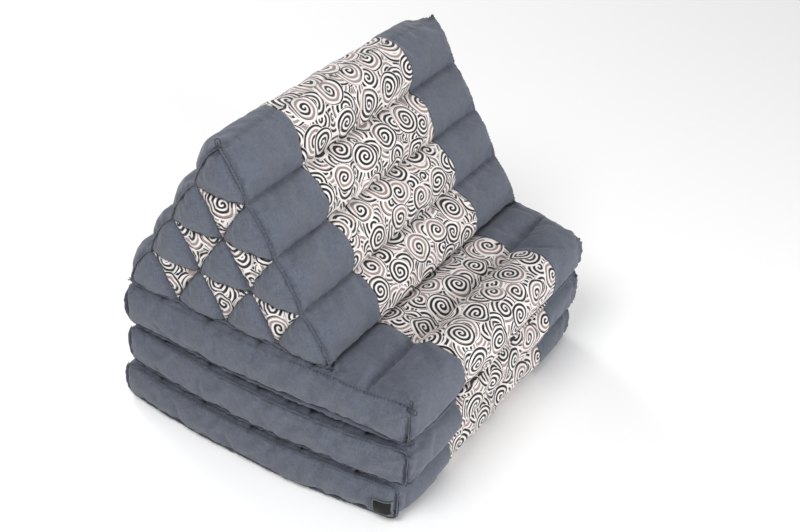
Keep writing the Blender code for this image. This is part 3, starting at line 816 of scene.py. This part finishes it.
def cut_piece(body, wanted):
    """A copy of the faces of a body that a test picks, with its raw edges turned in."""
    bm = bmesh.new()
    bm.from_mesh(body.data)
    bmesh.ops.delete(bm, geom=[face for face in bm.faces if not wanted(face)], context="FACES")
    crease = bm.edges.layers.float.new("crease_edge")
    for e in bm.edges:
        if e.is_boundary:
            e[crease] = 0.9
    for _ in range(2):
        raw = [e for e in bm.edges if e.is_boundary]
        if not raw:
            break
        loops = {}
        for e in raw:
            loops.setdefault(e.verts[0].co.x > 0, []).append(e)
        for edges in loops.values():
            middle = sum((e.verts[0].co for e in edges), Vector()) / len(edges)
            inwards = 1 if sum(v.co.x for v in bm.verts) / len(bm.verts) > middle.x else -1
            turned = bmesh.ops.extrude_edge_only(bm, edges=edges)["geom"]
            moved = [v for v in turned if isinstance(v, bmesh.types.BMVert)]
            for v in moved:
                away = (v.co - middle) * Vector((0, 1, 1))
                v.co -= away.normalized() * 0.0022
                v.co.x += inwards * TURNED_IN * 0.5
    return bm


FLUSH_ABOVE = 0.195  # the top mat's upper end seams are sewn flush, and its edge there is round


def finish_piece(name, bm, materials, nodes, levels=1):
    """Sharp seams, one level of subdivision, and closed ends. The piece stands for its CAD nodes."""
    gaps = [bm.verts.layers.float["channel_gap"], bm.verts.layers.float["end_gap"]]
    crease = bm.edges.layers.float["crease_edge"]
    crease_free = name.startswith("filled_mat_top")
    for e in bm.edges:
        flush = crease_free and max(v[gaps[1]] for v in e.verts) < 1e-6
        if flush and min(v.co.z for v in e.verts) > FLUSH_ABOVE:
            continue
        if any(max(v[gap] for v in e.verts) < 1e-6 for gap in gaps):
            e[crease] = 0.8
    # On the top mat's flush upper edge every point counts as 4.5 mm or more from an end seam, so the painted seam shade
    # and the gathers there are fainter.
    for v in bm.verts:
        if crease_free and v.co.z > FLUSH_ABOVE:
            v[gaps[1]] = max(v[gaps[1]], 0.0045)
    mesh = bpy.data.meshes.new(name)
    bm.to_mesh(mesh)
    bm.free()
    piece = link_object(name, mesh)
    smoother = piece.modifiers.new("smoother", "SUBSURF")
    smoother.levels = smoother.render_levels = levels
    graph = bpy.context.evaluated_depsgraph_get()
    smooth = bpy.data.meshes.new_from_object(piece.evaluated_get(graph))
    piece.modifiers.clear()
    bm = bmesh.new()
    bm.from_mesh(smooth)
    bmesh.ops.holes_fill(bm, edges=[e for e in bm.edges if e.is_boundary], sides=0)
    bmesh.ops.recalc_face_normals(bm, faces=bm.faces)
    bm.to_mesh(smooth)
    bm.free()
    piece.data = smooth
    bpy.data.meshes.remove(mesh)
    smooth.name = name
    smooth.materials.clear()
    for material in materials:
        smooth.materials.append(material)
    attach(piece, "root")
    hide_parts(*nodes)
    return piece


def gather_seams(piece):
    """Moves the cloth beside each seam in and out, in folds that run square to it."""
    mesh = piece.data
    count = len(mesh.vertices)
    co, normals = np.empty(count * 3, np.float32), np.empty(count * 3, np.float32)
    mesh.vertices.foreach_get("co", co)
    mesh.vertex_normals.foreach_get("vector", normals)
    co, normals = co.reshape(-1, 3), normals.reshape(-1, 3)
    channel, end = np.empty(count, np.float32), np.empty(count, np.float32)
    mesh.attributes["channel_gap"].data.foreach_get("value", channel)
    mesh.attributes["end_gap"].data.foreach_get("value", end)
    push = np.zeros(count)
    for n in range(count):
        x, y, z = co[n]
        if channel[n] < 0.03:
            push[n] += 0.7 * noise.noise((x * 115, y * 16, z * 16)) * math.exp(-channel[n] / 0.008)
        if end[n] < 0.05:
            push[n] += noise.noise((x * 14 + 5, y * 105, z * 105)) * math.exp(-end[n] / 0.013)
    push *= GATHER
    for spot, normal in KNOTS["left"] + KNOTS["right"]:
        across = normal.orthogonal().normalized()
        away = co - np.array(spot)
        reach = np.linalg.norm(away, axis=1)
        angle = np.arctan2(away @ np.array(normal.cross(across)), away @ np.array(across))
        push += PUCKER * np.cos(9 * angle + 40 * spot.z) * np.exp(-reach / PUCKER_REACH) * np.clip(reach / 0.004, 0, 1)
    co = co + normals * push[:, None]
    mesh.vertices.foreach_set("co", co.astype(np.float32).ravel())
    mesh.update()


for mat, body in zip(MATS, BODIES):
    for end_name, side in (("left", -1), ("right", 1)):
        bm = cut_piece(body, lambda face: face.material_index == 0 and face.calc_center_median().x * side > 0)
        for face in bm.faces:
            face.material_index = 0
        name = f"mat_{mat.name}_{end_name}"
        piece = finish_piece(f"filled_{name}", bm, [grey_cotton], [name])
        gather_seams(piece)
    bm = cut_piece(body, lambda face: face.material_index == 1)
    for face in bm.faces:
        face.material_index = 0
    piece = finish_piece(f"filled_mat_{mat.name}_band", bm, [printed_cotton], [f"mat_{mat.name}_band"])
    gather_seams(piece)

for end_name, side in (("left", -1), ("right", 1)):
    bm = cut_piece(WEDGE_BODY, lambda face: face.material_index == 0 and face.calc_center_median().x * side > 0)
    for face in bm.faces:
        face.material_index = 0
    piece = finish_piece(f"filled_wedge_{end_name}", bm, [grey_cotton], [f"wedge_{end_name}"])
    gather_seams(piece)
bm = cut_piece(WEDGE_BODY, lambda face: face.material_index == 1)
for face in bm.faces:
    face.material_index = 0
piece = finish_piece("filled_wedge_band", bm, [printed_cotton], ["wedge_band"])
gather_seams(piece)

# Printed triangles: small pieces of the printed cotton, cut with a narrow allowance and sewn by hand over
# the gaps between three tube ends. The stuffing behind them is slack, so they lie almost flat.

PATCH_LIFT = 0.0006
PATCH_THICKNESS = 0.0010

for side, end_name in ((-1, "left"), (1, "right")):
    for row in range(1, TUBE_ROWS):
        for place in range(row):
            bm = bmesh.new()
            bm.from_mesh(WEDGE_BODY.data)
            cell = bm.faces.layers.int["cell"]
            number = 10 * row + place + 1
            off = [f for f in bm.faces if f[cell] != number or f.calc_center_median().x * side < 0]
            bmesh.ops.delete(bm, geom=off, context="FACES")
            uv = bm.loops.layers.uv["cloth"]
            moved = Vector((0.37 * row + 0.21 * place * side, 0.53 * place - 0.19 * row * side))
            for face in bm.faces:
                face.material_index = 0
                for loop in face.loops:
                    loop[uv].uv += moved
            bmesh.ops.recalc_face_normals(bm, faces=bm.faces)
            if sum(face.normal.x for face in bm.faces) * side < 0:
                bmesh.ops.reverse_faces(bm, faces=bm.faces)
            end_layer = bm.verts.layers.float["end_gap"]
            for v in bm.verts:
                v.co.x += side * (PATCH_LIFT + 0.0012 * min(1, v[end_layer] / 0.006))
            bmesh.ops.solidify(bm, geom=bm.faces, thickness=PATCH_THICKNESS)
            name = f"patch_{end_name}_{row}_{place + 1}"
            mesh = bpy.data.meshes.new(f"sewn_{name}")
            bm.to_mesh(mesh)
            bm.free()
            mesh.materials.append(printed_cotton)
            patch = link_object(f"sewn_{name}", mesh)
            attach(patch, "root")
            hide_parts(name)

# Seam ridges: the end seams are sewn from outside, so the two folded edges stand up side by side as a
# narrow double ridge, whipped together with dark grey thread every few millimetres.

RIDGE_HEIGHT = 0.0024
RIDGE_LEAN = 0.5  # towards the end, off the line between the two panels
RIDGE_GAP = 0.0016  # between the middles of its two folds
RIDGE_OPEN = 1.8  # times wider at a mat's upright corner
FOLD_THICKNESS = 0.0012
STITCH_PITCH = 0.0052
THREAD = "#343740"

thread = bpy.data.materials.new("spun_polyester_thread")  # twisted and matt, a little darker than the cloth
thread.use_nodes = True
tree = thread.node_tree
place_there = add_node(tree, "ShaderNodeTexCoord").outputs["Object"]
twist = add_node(tree, "ShaderNodeTexNoise", {"Vector": place_there, "Scale": 900.0, "Detail": 1.0}).outputs["Fac"]
tone = add_node(tree, "ShaderNodeMapRange", {"Value": twist, "From Min": 0.3, "From Max": 0.7, "To Min": 0.7, "To Max": 1.3})
colour = add_node(tree, "ShaderNodeVectorMath", {0: linear(THREAD)[:3], "Scale": tone.outputs[0]}, operation="SCALE")
tree.links.new(colour.outputs[0], tree.nodes["Principled BSDF"].inputs["Base Color"])
tree.nodes["Principled BSDF"].inputs["Roughness"].default_value = 0.7


def lies_flush(name, point):
    return "mat_top" in name and point.z > FLUSH_ABOVE


def opening(name, path, point):
    """How far the two folds stand apart: not at all but on a mat's upright corners, between two knots."""
    if "mat" not in name:
        return 0.0
    low, high = min(co.z for co, _ in path), max(co.z for co, _ in path)
    return max(0.0, math.sin(math.pi * (point.z - low - 0.006) / (high - low - 0.012)))


def standing(name, point):
    """How much higher the folds stand where the top and the middle mat gape apart at the near end."""
    if not name.endswith(("mat_top_left", "mat_middle_left")) or abs(point.z - MATS[1].top) > 0.02:
        return 1.0
    return 1 + 0.9 * math.exp(-(((point.y - GAPE_MIDDLE) / GAPE_REACH) ** 2))


def build_ridge(name, path, side, closed=True):
    """Two folds of cloth side by side along a seam, each drawn out of the seam's line and thickened."""
    bm = bmesh.new()
    for fold, lean in enumerate((-0.5, 0.5)):
        verts = []
        for co, normal in path:
            gap = RIDGE_GAP * (1 + RIDGE_OPEN * opening(name, path, co))
            verts.append(bm.verts.new(co - normal * 0.0012 + Vector((side, 0, 0)) * lean * gap))
        pairs = list(zip(verts, verts[1:] + verts[:1])) if closed else list(zip(verts, verts[1:]))
        line = [bm.edges.new(pair) for pair in pairs]
        out = {v: normal for v, (_, normal) in zip(verts, path)}
        rise = 0.5 * (RIDGE_HEIGHT + 0.0012)
        for step in range(2):
            geom = bmesh.ops.extrude_edge_only(bm, edges=line)["geom"]
            made = [v for v in geom if isinstance(v, bmesh.types.BMVert)]
            line = [e for e in geom if isinstance(e, bmesh.types.BMEdge) and all(v in set(made) for v in e.verts)]
            fresh = {}
            for v in made:
                root = next(e.other_vert(v) for e in v.link_edges if e.other_vert(v) in out)
                wave = 1 + 0.55 * noise.noise(v.co * 170 + Vector((fold * 9.0, 0, 0)))
                flush = 0.2 if lies_flush(name, v.co) else 1.0
                wave *= (1 + 0.6 * opening(name, path, v.co)) * standing(name, v.co)
                v.co += out[root] * rise * wave * flush + Vector((side * 0.0005 * noise.noise(v.co * 120), 0, 0))
                fresh[v] = out[root]
            out = fresh
    bmesh.ops.recalc_face_normals(bm, faces=bm.faces)
    bmesh.ops.solidify(bm, geom=bm.faces, thickness=FOLD_THICKNESS)
    uv = bm.loops.layers.uv.new("cloth")
    for face in bm.faces:
        face.smooth = True
        for loop in face.loops:
            loop[uv].uv = loop.vert.co.y + loop.vert.co.x, loop.vert.co.z
    mesh = bpy.data.meshes.new(name)
    bm.to_mesh(mesh)
    bm.free()
    # The whole ridge counts as 4 mm from a seam, so the cotton's painted seam shade darkens it slightly all over, and
    # it takes small gathers.
    add_point_values(mesh, "channel_gap", [0.004] * len(mesh.vertices))
    add_point_values(mesh, "end_gap", [0.004] * len(mesh.vertices))
    mesh.materials.append(grey_cotton)
    ridge = link_object(name, mesh)
    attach(ridge, "root")
    return ridge


def sew_stitches(name, stitches, thickness=0.0005):
    """Short threads, each a straight piece from one point to another, lifted over what lies between them."""
    bm = bmesh.new()
    for start, end, lift in stitches:
        made = bmesh.ops.create_cone(
            bm, cap_ends=True, cap_tris=False, segments=5, radius1=thickness, radius2=thickness, depth=(end - start).length
        )["verts"]
        turn = (end - start).to_track_quat("Z", "Y").to_matrix().to_4x4()
        bmesh.ops.transform(bm, matrix=Matrix.Translation((start + end) / 2 + lift) @ turn, verts=made)
    mesh = bpy.data.meshes.new(name)
    for face in bm.faces:
        face.smooth = True
    bm.to_mesh(mesh)
    bm.free()
    mesh.materials.append(thread)
    sewn = link_object(name, mesh)
    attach(sewn, "root")
    return sewn


def along_path(path, pitch):
    """Points and directions at that pitch along a path, with the direction of travel."""
    since = 0.0
    for (co, normal), (after, after_normal) in zip(path, path[1:] + path[:1]):
        run = after - co
        if run.length > 0.03:
            continue
        while since < run.length:
            share = since / run.length
            yield co.lerp(after, share), normal.lerp(after_normal, share).normalized(), run.normalized()
            since += pitch
        since -= run.length


for body, name in zip([*BODIES, WEDGE_BODY], [*(f"mat_{mat.name}" for mat in MATS), "wedge"]):
    for side, end_name in ((-1, "left"), (1, "right")):
        path = [(co, (normal + Vector((side * RIDGE_LEAN, 0, 0))).normalized()) for co, normal in end_seam(body, side)]
        build_ridge(f"ridge_{name}_{end_name}", path, side)
        whipped = []
        for spot, normal, run in along_path(path, STITCH_PITCH):
            hidden = lies_flush(name, spot) and (side > 0 or spot.y > -0.06)
            if hidden or opening(name, path, spot) > 0.3:
                continue
            across = run.cross(normal).normalized() * (RIDGE_GAP * 0.5 + 0.0011)
            slant = run * 0.0007
            rise = 0.0003 if lies_flush(name, spot) else RIDGE_HEIGHT * standing(f"{name}_{end_name}", spot)
            whipped.append((spot - across - slant, spot + across + slant, normal * rise))
        sew_stitches(f"whipping_{name}_{end_name}", whipped, 0.0004)

# Knots: the thread of each seam is finished off with a small hard knot, whose ends and one or two loops are
# left on at the end that shows.

KNOT = 0.0024
KNOT_TAIL = 0.0060
LOOP_LONG, LOOP_WIDE = 0.0058, 0.0032  # half its length and width

for end_name, spots in KNOTS.items():
    bm = bmesh.new()
    threads = []
    for number, (spot, normal) in enumerate(spots):
        for v in bmesh.ops.create_icosphere(bm, subdivisions=2, radius=KNOT)["verts"]:
            v.co = v.co * (1 + 0.35 * noise.noise(v.co * 600 + spot * 90)) + spot + normal * KNOT * 0.6
        across = normal.orthogonal().normalized()
        start = spot + normal * KNOT * 1.2
        for tail in range(2 if end_name == "left" else 0):
            turn = 2.3 * number + 2.0 * tail
            along = across * math.cos(turn) + normal.cross(across) * math.sin(turn)
            threads.append((start, start + (along + normal * 0.25).normalized() * KNOT_TAIL, Vector()))
            if number in (0, len(spots) - 2) or number == len(spots) - 1:
                beside = normal.cross(along)
                ring = [
                    start + along * LOOP_LONG * (1 - math.cos(a)) + (beside + normal * 0.5) * LOOP_WIDE * math.sin(a)
                    for a in np.linspace(0, 2 * math.pi, 13)
                ]
                threads += [(a, b, Vector()) for a, b in zip(ring, ring[1:])]
    for face in bm.faces:
        face.smooth = True
    mesh = bpy.data.meshes.new(f"knots_{end_name}")
    bm.to_mesh(mesh)
    bm.free()
    mesh.materials.append(thread)
    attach(link_object(f"knots_{end_name}", mesh), "root")
    if threads:
        sew_stitches(f"knot_threads_{end_name}", threads, 0.0008)

# Running stitches: the printed triangles and the channels are sewn through with the same dark thread. Only the
# stitches round the printed triangles, on the lattice at each end of the wedge, are drawn.

RUN_PITCH, RUN_LENGTH = 0.0048, 0.0026

for side, end_name in ((-1, "left"), (1, "right")):
    bm = bmesh.new()
    bm.from_mesh(WEDGE_BODY.data)
    bm.normal_update()
    end_layer = bm.verts.layers.float["end_gap"]
    lattice_edges = [
        e
        for e in bm.edges
        if all(v[end_layer] < 1e-6 and v.co.x * side > 0 for v in e.verts)
        and len({round(f.normal.x * side) for f in e.link_faces}) == 1
    ]
    running = []
    for e in lattice_edges:
        a, b = e.verts
        run = (b.co - a.co).normalized()
        middle = (a.co + b.co) / 2
        normal = (a.normal + b.normal).normalized()
        running.append((middle - run * RUN_LENGTH / 2, middle + run * RUN_LENGTH / 2, normal * 0.0009))
    bm.free()
    sew_stitches(f"lattice_stitches_{end_name}", running, 0.00045)

# Hinges: strips of the covers' own cloth, folded over and sewn into the creases between the mats and behind
# the wedge, so that the cushion opens out flat. Only their folds show.

HINGE_LENGTH = 2 * (HALF_SEAM - 0.030)
HINGE_PROFILE = ((0.0, 0.0008), (0.5, 0.0015), (0.85, 0.0024), (1.0, 0.0004))
HINGE_CLOTH = 0.0007
HINGE_TAPER = 0.035  # at its ends a hinge runs out into the crease
HINGES = (
    ("front", "middle", (-0.2325, 0.1391), (-0.2440, 0.1391)),
    ("back", "bottom", (0.2365, 0.0672), (0.2480, 0.0690)),
    ("wedge", "top", (0.2265, 0.2143), (0.2385, 0.2150)),
)

for name, under, inner, fold in HINGES:
    inner, fold = Vector(inner), Vector(fold)
    depth = (fold - inner).length
    out = (fold - inner).normalized()
    up = Vector((-out.y, out.x))
    for part, low, high, material in (
        ("left", -HINGE_LENGTH / 2, -HALF_BAND, grey_cotton),
        ("band", -HALF_BAND, HALF_BAND, printed_cotton),
        ("right", HALF_BAND, HINGE_LENGTH / 2, grey_cotton),
    ):
        bm = bmesh.new()
        bmesh.ops.create_grid(bm, x_segments=48, y_segments=16, size=0.5)
        uv = bm.loops.layers.uv.new("cloth")
        for face in bm.faces:
            face.smooth = True
            for loop in face.loops:
                u, v = loop.vert.co.xy
                loop[uv].uv = low + (high - low) * (u + 0.5), v * 2 * depth
        for vert in bm.verts:
            u, v = vert.co.xy
            share = 1 - abs(2 * v)
            x = low + (high - low) * (u + 0.5)
            full = 0.2 + 0.8 * math.sin(math.pi / 2 * min(1.0, (HINGE_LENGTH / 2 - abs(x)) / HINGE_TAPER))
            half = np.interp(share, *zip(*HINGE_PROFILE)) * full
            spot = inner + out * depth * share * full + up * half * (1 if v > 0 else -1)
            ripple = 0.0006 * noise.noise((x * 60, share * 2, 3.1))
            vert.co = Vector((x, spot.x, spot.y + ripple)) + SHIFT
        bmesh.ops.recalc_face_normals(bm, faces=bm.faces)
        bmesh.ops.solidify(bm, geom=bm.faces, thickness=HINGE_CLOTH)
        node = f"hinge_{name}_{part}"
        mesh = bpy.data.meshes.new(f"folded_{node}")
        bm.to_mesh(mesh)
        bm.free()
        add_point_values(mesh, "channel_gap", [0.01] * len(mesh.vertices))
        add_point_values(mesh, "end_gap", [0.01] * len(mesh.vertices))
        mesh.materials.append(material)
        strip = link_object(f"folded_{node}", mesh)
        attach(strip, "root")
        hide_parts(node)

# Label: a small black woven satin label, left blank, with its edges heat-cut and sewn down along its sides.

LABEL_DEPTH, LABEL_HEIGHT = 0.027, 0.025
LABEL_MIDDLE = (-0.2245, 0.0300)  # Y and Z
LABEL_THICKNESS = 0.0009
LABEL_BLACK, LABEL_EDGE = "#08090a", "#5c6062"

label_satin = bpy.data.materials.new("woven_satin_label")  # a smooth, faintly shiny face with fine ribs
label_satin.use_nodes = True
tree = label_satin.node_tree
shader = tree.nodes["Principled BSDF"]
shader.inputs["Roughness"].default_value = 0.5
shader.inputs["Specular IOR Level"].default_value = 0.25
uv = add_node(tree, "ShaderNodeUVMap", uv_map="cloth").outputs["UV"]
part = add_node(tree, "ShaderNodeSeparateXYZ", {0: uv})
ribs = add_node(tree, "ShaderNodeMath", {0: part.outputs[1], 1: 2400.0}, operation="MULTIPLY").outputs[0]
rib = add_node(tree, "ShaderNodeMath", {0: ribs}, operation="SINE").outputs[0]
far = [add_node(tree, "ShaderNodeMath", {0: part.outputs[axis]}, operation="ABSOLUTE").outputs[0] for axis in (0, 1)]
furthest = add_node(tree, "ShaderNodeMath", {0: far[0], 1: far[1]}, operation="MAXIMUM").outputs[0]
border = add_node(tree, "ShaderNodeMath", {0: furthest, 1: 0.0113}, operation="GREATER_THAN").outputs[0]
colour = add_node(tree, "ShaderNodeMix", {0: border, 6: linear(LABEL_BLACK), 7: linear(LABEL_EDGE)}, data_type="RGBA").outputs[2]
bump = add_node(tree, "ShaderNodeBump", {"Height": rib, "Strength": 0.3, "Distance": 0.0002}).outputs[0]
tree.links.new(colour, shader.inputs["Base Color"])
tree.links.new(bump, shader.inputs["Normal"])

cover = bpy.data.objects["filled_mat_bottom_left"]
bm = bmesh.new()
bmesh.ops.create_grid(bm, x_segments=14, y_segments=14, size=0.5)
uv = bm.loops.layers.uv.new("cloth")
for face in bm.faces:
    face.smooth = True
    for loop in face.loops:
        loop[uv].uv = loop.vert.co.x * LABEL_DEPTH, loop.vert.co.y * LABEL_HEIGHT
for vert in bm.verts:
    spot = place_on_mat(
        MATS[0], Vector((-0.30, LABEL_MIDDLE[0] - vert.co.x * LABEL_DEPTH, LABEL_MIDDLE[1] + vert.co.y * LABEL_HEIGHT))
    )
    hit, found, normal, _ = cover.ray_cast(spot, Vector((1, 0, 0)))
    vert.co = found + normal * 0.0003 - Vector((0.0022, 0, 0)) if hit else spot + Vector((0.04, 0, 0))
bmesh.ops.recalc_face_normals(bm, faces=bm.faces)
if sum(face.normal.x for face in bm.faces) > 0:
    bmesh.ops.reverse_faces(bm, faces=bm.faces)
bmesh.ops.smooth_vert(bm, verts=bm.verts, factor=0.5, use_axis_x=True)
bmesh.ops.solidify(bm, geom=bm.faces, thickness=-LABEL_THICKNESS)
mesh = bpy.data.meshes.new("sewn_side_label")
bm.to_mesh(mesh)
bm.free()
mesh.materials.append(label_satin)
label = link_object("sewn_side_label", mesh)
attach(label, "root")
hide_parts("side_label")

for body in [*BODIES, WEDGE_BODY]:
    bpy.data.objects.remove(body, do_unlink=True)
